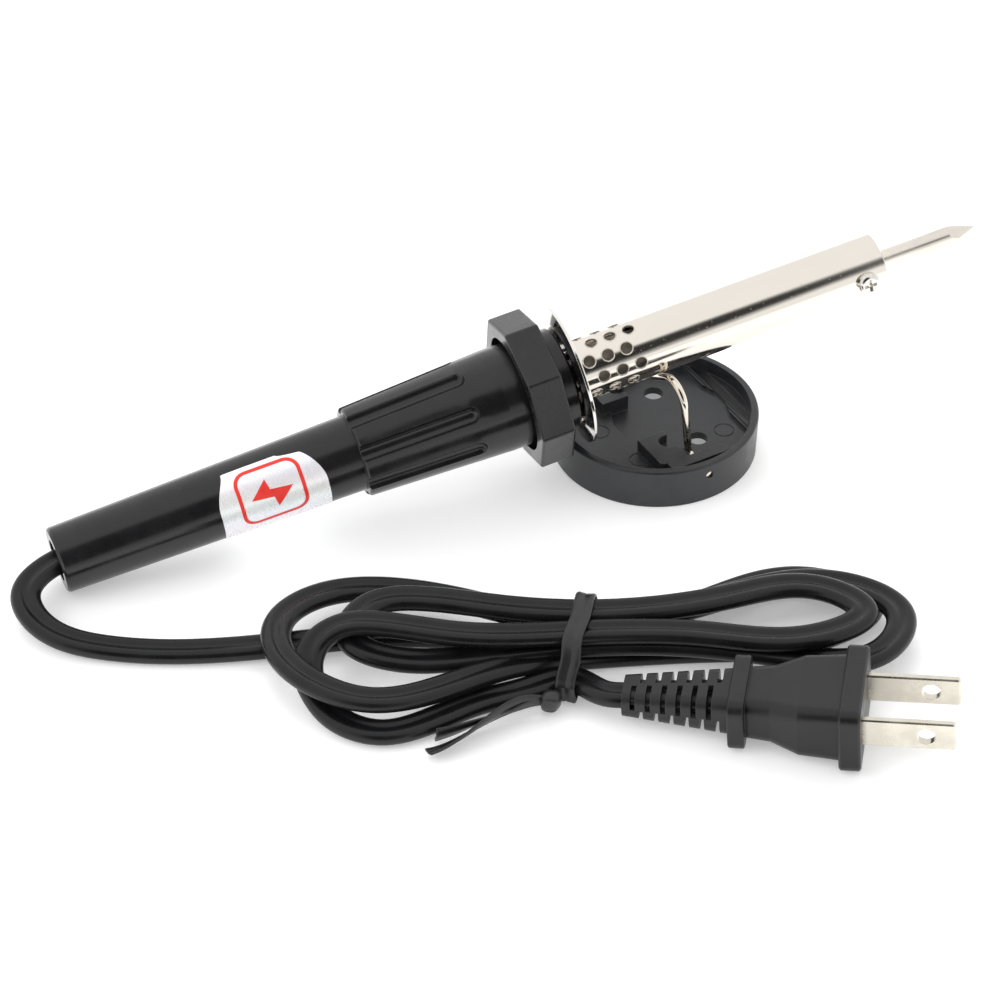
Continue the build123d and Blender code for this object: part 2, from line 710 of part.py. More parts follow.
def plug_blades():
    """Two flat blades with rounded ends and a hole near the end of each."""
    blades = []
    for sign in (-1, 1):
        y = sign * BLADE_SPACING / 2
        end = PLUG_FACE_AT + BLADE_OUT
        blade = box_between(
            (BLADE_BACK_X, end),
            (y - BLADE_T / 2, y + BLADE_T / 2),
            (-BLADE_W / 2, BLADE_W / 2),
        )
        corners = blade.edges().filter_by(Axis.Y).sort_by(Axis.X)[-2:]
        blade = fillet(corners, 0.8)
        blade = chamfer(blade.faces().sort_by(Axis.X)[-1].edges().filter_by(Axis.Z), 0.3)
        hole = Pos(PLUG_FACE_AT + 11.9, y, 0) * Rot(90, 0, 0) * Cylinder(BLADE_HOLE_R, 4)
        blades.append(PLUG * (blade - hole))
    return blades


# ---------------------------------------------------------------- write the sub-parts
def write(name, shape, place=None):
    """One STEP file per node; a list is a group of separate solids."""
    solids = shape if isinstance(shape, list) else [shape]
    placed = [place * solid for solid in solids] if place else solids
    result = placed[0] if len(placed) == 1 else Compound(children=placed)
    export_step(result, f"parts/{name}.step")


STAND_NODES = {"base_dish": base_dish, "wire_rest": wire_rest}

IRON_NODES = {
    "soldering_tip": soldering_tip,
    "tip_set_screw": tip_set_screw,
    "barrel_bushing": barrel_bushing,
    "barrel_tube": barrel_tube,
    "flange_disc": flange_disc,
    "flange_screws": flange_screws,
    "heater_core": heater_core,
    "heater_winding": heater_winding,
    "mica_sleeve": mica_sleeve,
    "ceramic_spacer": ceramic_spacer,
    "lead_wires": lead_wires,
    "lead_sleeves": lead_sleeves,
    "crimp_connectors": crimp_connectors,
    "handle_shell": handle_shell,
    "finger_guard": finger_guard,
    "rating_label": rating_label,
    "cord_tail": cord_tail,
    "cord_bush": cord_bush,
}

CORD_NODES = {
    "power_cord": power_cord,
    "cord_tie": cord_tie,
    "plug_body": plug_body,
    "plug_bridge": plug_bridge,
    "plug_blades": plug_blades,
}

for node, build in STAND_NODES.items():
    write(node, build())
for node, build in IRON_NODES.items():
    write(node, build(), IRON)
for node, build in CORD_NODES.items():
    write(node, build())
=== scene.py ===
import json
import math

import bmesh
import bpy
import numpy as np
from mathutils import Matrix, Vector

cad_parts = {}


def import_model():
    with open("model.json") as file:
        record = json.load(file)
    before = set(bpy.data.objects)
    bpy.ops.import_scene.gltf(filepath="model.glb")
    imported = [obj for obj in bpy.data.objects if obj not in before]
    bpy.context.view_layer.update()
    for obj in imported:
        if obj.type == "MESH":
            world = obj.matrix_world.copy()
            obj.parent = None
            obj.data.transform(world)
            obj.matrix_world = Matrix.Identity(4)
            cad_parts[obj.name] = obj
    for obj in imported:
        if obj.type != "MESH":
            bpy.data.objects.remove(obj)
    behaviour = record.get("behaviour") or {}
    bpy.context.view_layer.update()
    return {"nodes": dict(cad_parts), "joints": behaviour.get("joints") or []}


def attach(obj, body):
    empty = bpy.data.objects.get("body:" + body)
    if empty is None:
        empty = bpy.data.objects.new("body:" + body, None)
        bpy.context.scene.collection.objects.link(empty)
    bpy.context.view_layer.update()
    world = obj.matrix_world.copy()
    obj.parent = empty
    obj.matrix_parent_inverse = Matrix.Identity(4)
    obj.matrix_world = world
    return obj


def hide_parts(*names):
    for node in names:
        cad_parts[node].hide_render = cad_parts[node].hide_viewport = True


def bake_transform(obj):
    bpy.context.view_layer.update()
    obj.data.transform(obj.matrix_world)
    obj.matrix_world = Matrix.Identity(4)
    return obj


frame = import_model()
NODES = frame["nodes"]
MM = 0.001

# ------------------------------------------------------------------ the iron's own frame
JOINTS = {joint["name"]: joint for joint in frame["joints"]}
FORWARD = np.array(JOINTS["tip_pull"]["axis"])
FORWARD /= np.linalg.norm(FORWARD)
SIDE = np.cross([0.0, 0.0, 1.0], FORWARD)
SIDE /= np.linalg.norm(SIDE)
UP = np.cross(FORWARD, SIDE)
SCREW_FROM_TIP = 27.0
TIP = np.array(JOINTS["screw_turn"]["pos_m"]) + FORWARD * SCREW_FROM_TIP * MM


def on_iron(back, angle, radius):
    """Row-frame point at a distance back from the tip, an angle from the -Y side and a radius, in mm."""
    a = math.radians(angle)
    outward = -SIDE * math.cos(a) + UP * math.sin(a)
    return TIP - FORWARD * back * MM + outward * radius * MM


def iron_empty():
    """Empty standing at the tip with the iron's axes, for materials that run along the iron."""
    empty = bpy.data.objects.new("iron_axes", None)
    bpy.context.scene.collection.objects.link(empty)
    m = Matrix.Identity(4)
    for row in range(3):
        m[row][0], m[row][1], m[row][2], m[row][3] = FORWARD[row], SIDE[row], UP[row], TIP[row]
    empty.matrix_world = m
    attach(empty, "iron")
    return empty


IRON_AXES = iron_empty()


# ------------------------------------------------------------------ mesh helpers
def mesh_object(name, verts, faces, body=None, smooth=True):
    """New mesh object from row-frame metres, riding on a body."""
    mesh = bpy.data.meshes.new(name)
    mesh.from_pydata([tuple(v) for v in verts], [], faces)
    mesh.validate()
    bm = bmesh.new()
    bm.from_mesh(mesh)
    bmesh.ops.remove_doubles(bm, verts=bm.verts, dist=1e-7)
    bmesh.ops.recalc_face_normals(bm, faces=bm.faces)
    bm.to_mesh(mesh)
    bm.free()
    obj = bpy.data.objects.new(name, mesh)
    bpy.context.scene.collection.objects.link(obj)
    for poly in mesh.polygons:
        poly.use_smooth = smooth
    if body:
        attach(obj, body)
    return obj


def skin(rings, closed=False):
    """Quads between successive rings of points; ends capped with a fan unless the run is closed."""
    n = len(rings[0])
    verts = [p for ring in rings for p in ring]
    faces = []
    count = len(rings)
    for i in range(count if closed else count - 1):
        j = (i + 1) % count
        for k in range(n):
            m = (k + 1) % n
            faces.append((i * n + k, i * n + m, j * n + m, j * n + k))
    if not closed:
        faces.append(tuple(range(n)))
        faces.append(tuple((count - 1) * n + k for k in reversed(range(n))))
    return verts, faces


# ------------------------------------------------------------------ material helpers
def new_material(name):
    mat = bpy.data.materials.new(name)
    mat.use_nodes = True
    tree = mat.node_tree
    tree.nodes.clear()
    out = tree.nodes.new("ShaderNodeOutputMaterial")
    shader = tree.nodes.new("ShaderNodeBsdfPrincipled")
    tree.links.new(shader.outputs[0], out.inputs[0])
    return mat, tree, shader


def node(tree, kind, **inputs):
    """Add a node; keyword names are input names with _ for spaces, values numbers or sockets."""
    made = tree.nodes.new(kind)
    for key, value in inputs.items():
        socket = made.inputs[key.replace("_", " ")]
        if isinstance(value, bpy.types.NodeSocket):
            tree.links.new(value, socket)
        else:
            socket.default_value = value
    return made


def calc(tree, op, a, b=0.0, c=0.0, clamp=False):
    made = tree.nodes.new("ShaderNodeMath")
    made.operation = op
    made.use_clamp = clamp
    for index, value in enumerate((a, b, c)):
        if isinstance(value, bpy.types.NodeSocket):
            tree.links.new(value, made.inputs[index])
        else:
            made.inputs[index].default_value = value
    return made.outputs[0]


def ramp(tree, value, low, high, out_low=0.0, out_high=1.0):
    """Smooth step of value between low and high."""
    made = tree.nodes.new("ShaderNodeMapRange")
    made.interpolation_type = "SMOOTHSTEP"
    tree.links.new(value, made.inputs[0])
    for index, number in enumerate((low, high, out_low, out_high)):
        made.inputs[index + 1].default_value = number
    return made.outputs[0]


def mix(tree, factor, a, b):
    """Colour mix; each side is a colour tuple or a socket."""
    made = tree.nodes.new("ShaderNodeMix")
    made.data_type = "RGBA"
    for index, value in ((0, factor), (6, a), (7, b)):
        if isinstance(value, bpy.types.NodeSocket):
            tree.links.new(value, made.inputs[index])
        elif index:
            made.inputs[index].default_value = (*value, 1.0)
        else:
            made.inputs[index].default_value = value
    return made.outputs[2]


def noise(tree, coords, scale, detail=3.0, rough=0.55, stretch=None):
    vector = coords
    if stretch:
        mapping = tree.nodes.new("ShaderNodeMapping")
        mapping.inputs["Scale"].default_value = stretch
        tree.links.new(coords, mapping.inputs[0])
        vector = mapping.outputs[0]
    made = node(tree, "ShaderNodeTexNoise", Vector=vector, Scale=scale, Detail=detail, Roughness=rough)
    return made.outputs[0]


def surface(
    name,
    colour,
    rough,
    *,
    metal=0.0,
    shade=0.85,
    patch=250.0,
    rough_spread=0.05,
    grain=2500.0,
    grain_depth=0.004,
    wave=0.0,
    wave_scale=120.0,
    edge_highlight=0.0,
    edge_highlight_colour=(0.3, 0.3, 0.3),
    round_mm=0.0,
    coat=0.0,
    specular=0.5,
    stretch=None,
    along_iron=False,
    specks=0.0,
    sheen=0.0,
):
    """Procedural finish: patchy colour and roughness, fine grain, slow waviness, rounded edges with a painted
    highlight (a lighter colour) along them.
    """
    mat, tree, shader = new_material(name)
    coord = tree.nodes.new("ShaderNodeTexCoord")
    if along_iron:
        coord.object = IRON_AXES
    space = coord.outputs["Object"]
    patches = noise(tree, space, patch, 4.0, 0.6, stretch)
    darker = tuple(c * shade for c in colour)
    tone = mix(tree, ramp(tree, patches, 0.35, 0.65), darker, colour)
    roughness = ramp(tree, patches, 0.3, 0.7, rough - rough_spread, rough + rough_spread)
    if round_mm > 0:
        bevel = node(tree, "ShaderNodeBevel", Radius=round_mm * MM)
        bevel.samples = 6
        normal = bevel.outputs[0]
    else:
        normal = None
    # Painted edge highlight: a lighter colour where the bevelled normal turns away from the true normal, patchy
    # along the edge, weighted by the edge amount.
    if edge_highlight > 0 and normal is not None:
        geometry = tree.nodes.new("ShaderNodeNewGeometry")
        dot = tree.nodes.new("ShaderNodeVectorMath")
        dot.operation = "DOT_PRODUCT"
        tree.links.new(normal, dot.inputs[0])
        tree.links.new(geometry.outputs["True Normal"], dot.inputs[1])
        edge_highlight_mask = ramp(tree, dot.outputs["Value"], 0.995, 0.88)
        edge_highlight_mask = calc(tree, "MULTIPLY", edge_highlight_mask, ramp(tree, patches, 0.3, 0.6, 0.4, 1.0))
        edge_highlight_mask = calc(tree, "MULTIPLY", edge_highlight_mask, edge_highlight)
        tone = mix(tree, edge_highlight_mask, tone, edge_highlight_colour)
    if specks > 0:
        dots = noise(tree, space, 2600.0, 1.0, 0.5)
        spot = ramp(tree, dots, 0.70, 0.76)
        roughness = calc(tree, "ADD", roughness, calc(tree, "MULTIPLY", spot, specks))
    height = noise(tree, space, grain, 3.0, 0.6, stretch)
    bump = node(tree, "ShaderNodeBump", Strength=1.0, Distance=grain_depth * MM, Height=height)
    if normal is not None:
        tree.links.new(normal, bump.inputs["Normal"])
    last = bump
    if wave > 0:
        slow = noise(tree, space, wave_scale, 2.0, 0.5, stretch)
        last = node(tree, "ShaderNodeBump", Strength=1.0, Distance=wave * MM, Height=slow)
        tree.links.new(bump.outputs[0], last.inputs["Normal"])
    tree.links.new(last.outputs[0], shader.inputs["Normal"])
    tree.links.new(tone, shader.inputs["Base Color"])
    tree.links.new(roughness, shader.inputs["Roughness"])
    shader.inputs["Metallic"].default_value = metal
    shader.inputs["Specular IOR Level"].default_value = specular
    shader.inputs["Coat Weight"].default_value = coat
    shader.inputs["Coat Roughness"].default_value = 0.05
    shader.inputs["Sheen Weight"].default_value = sheen
    return mat


def paint(target, mat):
    """Give an object, or a CAD node by name, one material."""
    obj = NODES[target] if isinstance(target, str) else target
    slots = obj.material_slots
    if not slots:
        obj.data.materials.append(mat)
        return
    for index in range(len(slots)):
        slots[index].link = "OBJECT"
        slots[index].material = mat


# ------------------------------------------------------------------ finishes
# The edge weight and edge colour given to a finish paint a lighter highlight along its rounded edges.
BLACK = (0.010, 0.010, 0.011)
plastic_gloss = surface(
    "handle_plastic",
    (0.011, 0.011, 0.012),
    0.20,
    shade=0.75,
    patch=160,
    rough_spread=0.035,
    grain=5200,
    grain_depth=0.0012,
    wave=0.03,
    wave_scale=90,
    edge_highlight=0.5,
    edge_highlight_colour=(0.06, 0.06, 0.062),
    round_mm=0.22,
    along_iron=True,
    specks=0.12,
)
plastic_guard = surface(
    "guard_plastic",
    (0.013, 0.013, 0.014),
    0.24,
    shade=0.75,
    patch=200,
    rough_spread=0.05,
    grain=4200,
    grain_depth=0.0016,
    wave=0.05,
    wave_scale=130,
    edge_highlight=0.5,
    edge_highlight_colour=(0.07, 0.07, 0.072),
    round_mm=0.3,
    along_iron=True,
    specks=0.12,
)
plastic_dish = surface(
    "dish_plastic",
    (0.024, 0.025, 0.028),
    0.36,
    shade=0.7,
    patch=210,
    rough_spread=0.07,
    grain=5200,
    grain_depth=0.0035,
    wave=0.03,
    wave_scale=160,
    edge_highlight=0.6,
    edge_highlight_colour=(0.11, 0.11, 0.115),
    round_mm=0.2,
    specks=0.15,
)
plastic_plug = surface(
    "plug_vinyl",
    (0.011, 0.011, 0.012),
    0.36,
    specular=0.42,
    shade=0.72,
    patch=190,
    rough_spread=0.07,
    grain=6000,
    grain_depth=0.004,
    wave=0.05,
    wave_scale=170,
    edge_highlight=0.45,
    edge_highlight_colour=(0.07, 0.07, 0.072),
    round_mm=0.3,
)
cord_vinyl = surface(
    "cord_vinyl",
    (0.008, 0.008, 0.009),
    0.30,
    specular=0.36,
    shade=0.7,
    patch=130,
    rough_spread=0.06,
    grain=3800,
    grain_depth=0.003,
    wave=0.05,
    wave_scale=260,
)
tie_vinyl = surface(
    "tie_vinyl",
    (0.017, 0.017, 0.018),
    0.34,
    shade=0.7,
    patch=300,
    rough_spread=0.07,
    grain=5000,
    grain_depth=0.003,
    wave=0.05,
    wave_scale=420,
)
bush_rubber = surface("bush_rubber", (0.02, 0.02, 0.02), 0.6, grain=4000, grain_depth=0.01)
barrel_plate = surface(
    "barrel_plate",
    (0.90, 0.845, 0.765),
    0.115,
    metal=1.0,
    shade=0.93,
    patch=60,
    rough_spread=0.02,
    grain=900,
    grain_depth=0.0012,
    wave=0.004,
    wave_scale=70,
    round_mm=0.15,
    stretch=(0.25, 1.0, 1.0),
    along_iron=True,
    specks=0.2,
)
flange_plate = surface(
    "flange_plate",
    (0.92, 0.89, 0.84),
    0.10,
    metal=1.0,
    shade=0.95,
    patch=90,
    rough_spread=0.02,
    grain=1500,
    grain_depth=0.0008,
    wave=0.006,
    wave_scale=80,
    round_mm=0.2,
    along_iron=True,
    specks=0.15,
)
wire_plate = surface(
    "wire_plate",
    (0.86, 0.79, 0.68),
    0.14,
    metal=1.0,
    shade=0.88,
    patch=400,
    grain=2500,
    grain_depth=0.0015,
    specks=0.2,
)
tip_plate = surface(
    "tip_plate",
    (0.86, 0.80, 0.72),
    0.20,
    metal=1.0,
    shade=0.88,
    patch=300,
    rough_spread=0.05,
    grain=1800,
    grain_depth=0.003,
    round_mm=0.1,
    stretch=(0.4, 1.0, 1.0),
    along_iron=True,
    specks=0.25,
)
bush_plate = surface(
    "bush_plate",
    (0.80, 0.86, 0.90),
    0.22,
    metal=1.0,
    shade=0.9,
    patch=500,
    grain=3000,
    grain_depth=0.002,
    round_mm=0.1,
    along_iron=True,
)
screw_plate = surface(
    "screw_plate",
    (0.84, 0.81, 0.77),
    0.16,
    metal=1.0,
    shade=0.85,
    patch=900,
    grain=3000,
    grain_depth=0.002,
    round_mm=0.12,
    edge_highlight=0.3,
    edge_highlight_colour=(0.95, 0.93, 0.9),
)
blade_plate = surface(
    "blade_plate",
    (0.80, 0.755, 0.655),
    0.27,
    metal=1.0,
    shade=0.88,
    patch=220,
    rough_spread=0.06,
    grain=2600,
    grain_depth=0.002,
    round_mm=0.15,
    edge_highlight=0.5,
    edge_highlight_colour=(0.95, 0.92, 0.86),
    specks=0.2,
)
ceramic = surface("core_ceramic", (0.80, 0.78, 0.73), 0.6, shade=0.9, grain=3000, grain_depth=0.01)
mica = surface("mica", (0.33, 0.29, 0.25), 0.55, shade=0.6, patch=500, grain=2500, grain_depth=0.01)
winding = surface("winding_wire", (0.38, 0.34, 0.30), 0.4, metal=1.0, shade=0.7, patch=600)
lead = surface("lead_wire", (0.66, 0.63, 0.58), 0.3, metal=1.0, shade=0.8, patch=700)
sleeve = surface(
    "sleeve_weave", (0.78, 0.75, 0.66), 0.8, shade=0.85, patch=900, grain=3500, grain_depth=0.04, sheen=0.3
)
crimp = surface("crimp_brass", (0.78, 0.60, 0.32), 0.3, metal=1.0, shade=0.8, patch=600)


def label_material():
    """Silvered label: bright, with a faint pastel shift round the handle."""
    mat, tree, shader = new_material("label_foil")
    coord = tree.nodes.new("ShaderNodeTexCoord")
    coord.object = IRON_AXES
    space = coord.outputs["Object"]
    split = node(tree, "ShaderNodeSeparateXYZ", Vector=space)
    angle = calc(tree, "ARCTAN2", split.outputs["Z"], calc(tree, "MULTIPLY", split.outputs["Y"], -1.0))
    drift = calc(tree, "ADD", calc(tree, "MULTIPLY", angle, 5.0), calc(tree, "MULTIPLY", split.outputs["X"], 90.0))
    pastel = node(
        tree,
        "ShaderNodeCombineXYZ",
        X=calc(tree, "MULTIPLY_ADD", calc(tree, "SINE", drift), 0.02, 0.90),
        Y=calc(tree, "MULTIPLY_ADD", calc(tree, "SINE", calc(tree, "ADD", drift, 2.1)), 0.02, 0.905),
        Z=calc(tree, "MULTIPLY_ADD", calc(tree, "SINE", calc(tree, "ADD", drift, 4.2)), 0.02, 0.92),
    )
    fine = noise(tree, space, 1500.0, 3.0, 0.6, (1.0, 0.25, 0.25))
    tree.links.new(pastel.outputs[0], shader.inputs["Base Color"])
    shader.inputs["Metallic"].default_value = 0.30
    rough = ramp(tree, fine, 0.3, 0.7, 0.24, 0.34)
    tree.links.new(rough, shader.inputs["Roughness"])
    bump = node(tree, "ShaderNodeBump", Strength=1.0, Distance=0.004 * MM, Height=fine)
    tree.links.new(bump.outputs[0], shader.inputs["Normal"])
    return mat


label_foil = label_material()
label_ink = surface(
    "label_ink", (0.80, 0.030, 0.020), 0.35, shade=0.9, patch=700, grain=4000, grain_depth=0.002
)

FINISH = {
    "base_dish": plastic_dish,
    "wire_rest": wire_plate,
    "soldering_tip": tip_plate,
    "tip_set_screw": screw_plate,
    "barrel_bushing": bush_plate,
    "barrel_tube": barrel_plate,
    "flange_disc": flange_plate,
    "flange_screws": screw_plate,
    "heater_core": ceramic,
    "heater_winding": winding,
    "mica_sleeve": mica,
    "ceramic_spacer": ceramic,
    "lead_wires": lead,
    "lead_sleeves": sleeve,
    "crimp_connectors": crimp,
    "handle_shell": plastic_gloss,
    "finger_guard": plastic_guard,
    "rating_label": label_foil,
    "cord_tail": cord_vinyl,
    "cord_bush": bush_rubber,
    "power_cord": cord_vinyl,
    "cord_tie": tie_vinyl,
    "plug_body": plastic_plug,
    "plug_bridge": plastic_plug,
    "plug_blades": blade_plate,
}
for cad_node, finish in FINISH.items():
    paint(cad_node, finish)


# ------------------------------------------------------------------ flex
CORD_W = 6.0
CORD_T = 3.0
LAYER = 3.15
TIE_T = 0.6
COIL_YAW = math.radians(-30.0)
TIE_AT = (-17.0, -70.0)
TIE_TURN = math.radians(-12.0)
COLUMN = CORD_W + 0.35
HANDLE_REAR = 200.2


def coil_to_row(p):
    """Coil frame (X along the coil) to the row frame, mm."""
    c, s = math.cos(COIL_YAW), math.sin(COIL_YAW)
    return np.array([p[0] * c - p[1] * s, p[0] * s + p[1] * c, p[2]])


def tie_to_coil(p):
    """Tie frame (X through the tie) to the coil frame, mm."""
    c, s = math.cos(TIE_TURN), math.sin(TIE_TURN)
    return np.array([TIE_AT[0] + p[0] * c - p[1] * s, TIE_AT[1] + p[0] * s + p[1] * c, p[2]])


def strand(column, layer):
    return tuple(tie_to_coil((0.0, column * COLUMN, CORD_T / 2 + TIE_T + 0.3 + layer * LAYER)))


def cord_points():
    """Waypoints of the flex from the handle to the plug, row frame, mm."""
    low = CORD_T / 2 + 0.2
    second = low + LAYER
    third = low + 2 * LAYER
    coil = [
        (-124.6, -53.0, 4.6), (-120.5, -61.5, 2.9), (-108.0, -66.3, low), (-78.0, -66.0, low),
        (-50.0, -62.5, low), strand(1, 0),
        (12.0, -50.5, low), (31.0, -46.0, low), (40.5, -53.5, low), (32.0, -62.5, low),
        (8.0, -67.0, low), strand(0, 0), (-24.0, -72.4, 3.7), (-31.0, -75.8, second + 0.1),
        (-42.0, -81.6, second + 0.4), (-57.0, -86.3, second + 1.2), (-68.0, -81.5, second + 1.8),
        (-74.4, -72.0, second + 1.6), (-74.0, -62.0, second + 0.8), (-66.0, -54.3, second + 0.3),
        (-54.0, -52.5, second), (-36.0, -57.0, second), strand(1, 1),
        (14.0, -54.0, second), (34.0, -50.5, second), (46.0, -60.0, second),
        (41.0, -71.5, second), (20.0, -71.5, second), strand(0, 1),
        (-38.0, -73.2, second + 0.4), (-52.0, -74.3, second + 1.0), (-60.5, -69.5, third - 1.0),
        (-58.0, -62.0, third), (-47.0, -59.0, third), (-32.0, -61.5, third), strand(1, 2),
        (14.0, -58.0, third), (31.0, -56.0, third), (38.5, -63.0, third),
        (30.0, -69.8, third), (8.0, -69.5, third), strand(0, 2),
        (-40.0, -71.2, third + 1.5), (-55.0, -69.3, third + 2.4), (-62.0, -69.4, third + 2.0),
        (-67.0, -71.8, third - 0.2), (-68.6, -76.4, 5.3), (-67.0, -81.2, 3.2),
        (-62.0, -87.7, low + 0.2), (-54.0, -90.8, low + 0.1), (-45.5, -87.8, low + 0.1),
        (-35.2, -82.0, low + 0.2), (-26.5, -78.8, low + 0.3), strand(-1, 0),
    ]
    points = [on_iron(HANDLE_REAR - back, 0, 0) / MM for back in (6.4, 2.0)]
    points += [coil_to_row(p) for p in coil]
    return np.array(points + [plug_point(x, 0, 0) for x in (-3.0, 1.0, 6.0, 12.0)])


PLUG_START = np.array([-48.7, -67.9, 4.45])
PLUG_YAW = math.radians(-39.0)
PLUG_TILT = math.radians(3.8)
PLUG_X = np.array(
    [math.cos(PLUG_TILT) * math.cos(PLUG_YAW), math.cos(PLUG_TILT) * math.sin(PLUG_YAW), math.sin(PLUG_TILT)]
)
PLUG_Y = np.array([-math.sin(PLUG_YAW), math.cos(PLUG_YAW), 0.0])
PLUG_Z = np.cross(PLUG_X, PLUG_Y)


def plug_point(x, y, z):
    """Plug frame (X towards the blades) to the row frame, mm."""
    return PLUG_START + PLUG_X * x + PLUG_Y * y + PLUG_Z * z


def end_slope(t, p):
    """Slope at the first of four points of the cubic through them."""
    slope = np.zeros(3)
    for i in range(4):
        weight = 0.0
        for j in range(4):
            if j == i:
                continue
            term = 1.0 / (t[i] - t[j])
            for k in range(4):
                if k not in (i, j):
                    term *= (t[0] - t[k]) / (t[i] - t[k])
            weight += term
        slope += weight * p[i]
    return slope


def spline(points, spacing):
    """Points evenly spaced on the smooth curve through the waypoints, with tangents."""
    t = np.concatenate([[0.0], np.cumsum(np.linalg.norm(np.diff(points, axis=0), axis=1))])
    n = len(points)
    system = np.zeros((n, n))
    right = np.zeros((n, 3))
    system[0, 0] = system[-1, -1] = 1.0
    right[0] = end_slope(t[:4], points[:4])
    right[-1] = end_slope(t[-1:-5:-1], points[-1:-5:-1])
    for i in range(1, n - 1):
        before, after = t[i] - t[i - 1], t[i + 1] - t[i]
        system[i, i - 1 : i + 2] = (1 / before, 2 / before + 2 / after, 1 / after)
        right[i] = 3 * ((points[i] - points[i - 1]) / before**2 + (points[i + 1] - points[i]) / after**2)
    slopes = np.linalg.solve(system, right)
    fine = []
    for i in range(n - 1):
        span = t[i + 1] - t[i]
        for u in np.linspace(0, 1, 24, endpoint=False):
            h00, h10 = 2 * u**3 - 3 * u**2 + 1, u**3 - 2 * u**2 + u
            h01, h11 = -2 * u**3 + 3 * u**2, u**3 - u**2
            fine.append(
                h00 * points[i] + h10 * span * slopes[i] + h01 * points[i + 1] + h11 * span * slopes[i + 1]
            )
    fine.append(points[-1])
    fine = np.array(fine)
    length = np.concatenate([[0.0], np.cumsum(np.linalg.norm(np.diff(fine, axis=0), axis=1))])
    stations = np.linspace(0, length[-1], int(length[-1] / spacing) + 1)
    line = np.stack([np.interp(stations, length, fine[:, k]) for k in range(3)], 1)
    tangent = np.gradient(line, axis=0)
    return line, tangent / np.linalg.norm(tangent, axis=1)[:, None]


def cord_section():
    """Two round lobes with a groove between them, top and bottom; (across, up) in mm."""
    lobe = CORD_T / 2
    offset = CORD_W / 2 - lobe
    web = lobe * 0.70
    cut = math.degrees(math.asin(0.80))
    right = [
        (offset + lobe * math.cos(math.radians(a)), lobe * math.sin(math.radians(a)))
        for a in np.linspace(-180 + cut, 180 - cut, 17)
    ]
    valley = [(0.22, web), (-0.22, web)]
    left = [(-x, -y) for x, y in right]
    return right + valley + left + [(-x, -y) for x, y in valley]


def power_flex():
    """The flex, one fixed swept mesh from the handle through the coil to the plug."""
    line, tangent = spline(cord_points(), 0.8)
    section = cord_section()
    rings = []
    for p, t in zip(line, tangent):
        across = np.cross([0.0, 0.0, 1.0], t)
        across /= np.linalg.norm(across)
        lift = np.cross(t, across)
        rings.append([(p + across * a + lift * b) * MM for a, b in section])
    flex = mesh_object("power_flex", *skin(rings))
    paint(flex, cord_vinyl)
    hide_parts("power_cord")
    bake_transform(flex)
    return flex


power_flex()


# ------------------------------------------------------------------ tie
TIE_RISE = 3 * LAYER + TIE_T + 0.6


def tie_to_row(p):
    return coil_to_row(tie_to_coil(p)) * MM


def softened(points, rounds=3, cut=0.16):
    """Closed outline with its corners cut back a few times."""
    for _ in range(rounds):
        made = []
        for i, p in enumerate(points):
            q = points[(i + 1) % len(points)]
            made += [p + (q - p) * cut, q + (p - q) * cut]
        points = made
    return points


def strap_section(width, thickness):
    """Flat strap with a rib along each edge; (across, out) in mm."""
    half, t = width / 2, thickness / 2
    top = [
        (-half, 0.0), (-half + 0.12, t), (-half + 0.55, t + 0.14), (-half + 1.1, t), (-0.3, t - 0.02),
        (0.0, t - 0.16), (0.3, t - 0.02), (half - 1.1, t), (half - 0.55, t + 0.14), (half - 0.12, t),
    ]
    return top + [(half, 0.0), (half - 0.12, -t), (0.0, -t + 0.08), (-half + 0.12, -t)]


def tie_band():
    """Strap pulled tight round the strands."""
    corners = [(-11.5, 0.32), (-11.5, 4.4), (-10.1, 5.45), (-4.75, 10.95), (11.2, 10.95), (11.2, 0.32)]
    outline = softened([np.array(p) for p in corners])
    fine = []
    for i, p in enumerate(outline):
        q = outline[(i + 1) % len(outline)]
        steps = max(1, int(np.linalg.norm(q - p) / 0.8))
        fine += [p + (q - p) * k / steps for k in range(steps)]
    n = len(fine)
    rings = []
    for i, p in enumerate(fine):
        t = fine[(i + 1) % n] - fine[i - 1]
        t = t / np.linalg.norm(t)
        out = np.array([-t[1], t[0]])
        sway = 0.35 * math.sin(2.3 * p[0] * 0.2 + 0.6 * p[1])
        ring = []
        for a, b in strap_section(3.9, 0.5):
            ring.append(tie_to_row((a + sway * 0.5, p[0] + out[0] * b, max(p[1] + out[1] * b, 0.02))))
        rings.append(ring)
    band = mesh_object("tie_band", *skin(rings, closed=True), "cord_bundle")
    paint(band, tie_vinyl)
    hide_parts("cord_tie")


def ribbon(name, path, turns, width=3.7):
    """Strap end along a path in the tie's frame; turns are its roll in degrees at the waypoints."""
    line, tangent = spline(np.array(path), 0.5)
    rolls = np.interp(np.linspace(0, 1, len(line)), np.linspace(0, 1, len(turns)), turns)
    rings = []
    for index, (p, t) in enumerate(zip(line, tangent)):
        level = np.cross([0.0, 0.0, 1.0], t)
        level /= np.linalg.norm(level)
        lift = np.cross(t, level)
        a = math.radians(rolls[index])
        across = level * math.cos(a) + lift * math.sin(a)
        out = np.cross(t, across)
        pinch = min(1.0, 0.55 + 0.45 * index / 10)
        ring = []
        for x, y in strap_section(width, 0.5):
            fold = 0.35 * abs(x) / (width / 2)
            q = p + across * x * pinch + out * (y + fold)
            ring.append(tie_to_row((q[0], q[1], max(q[2], 0.03))))
        rings.append(ring)
    tail = mesh_object(name, *skin(rings), "cord_bundle")
    paint(tail, tie_vinyl)


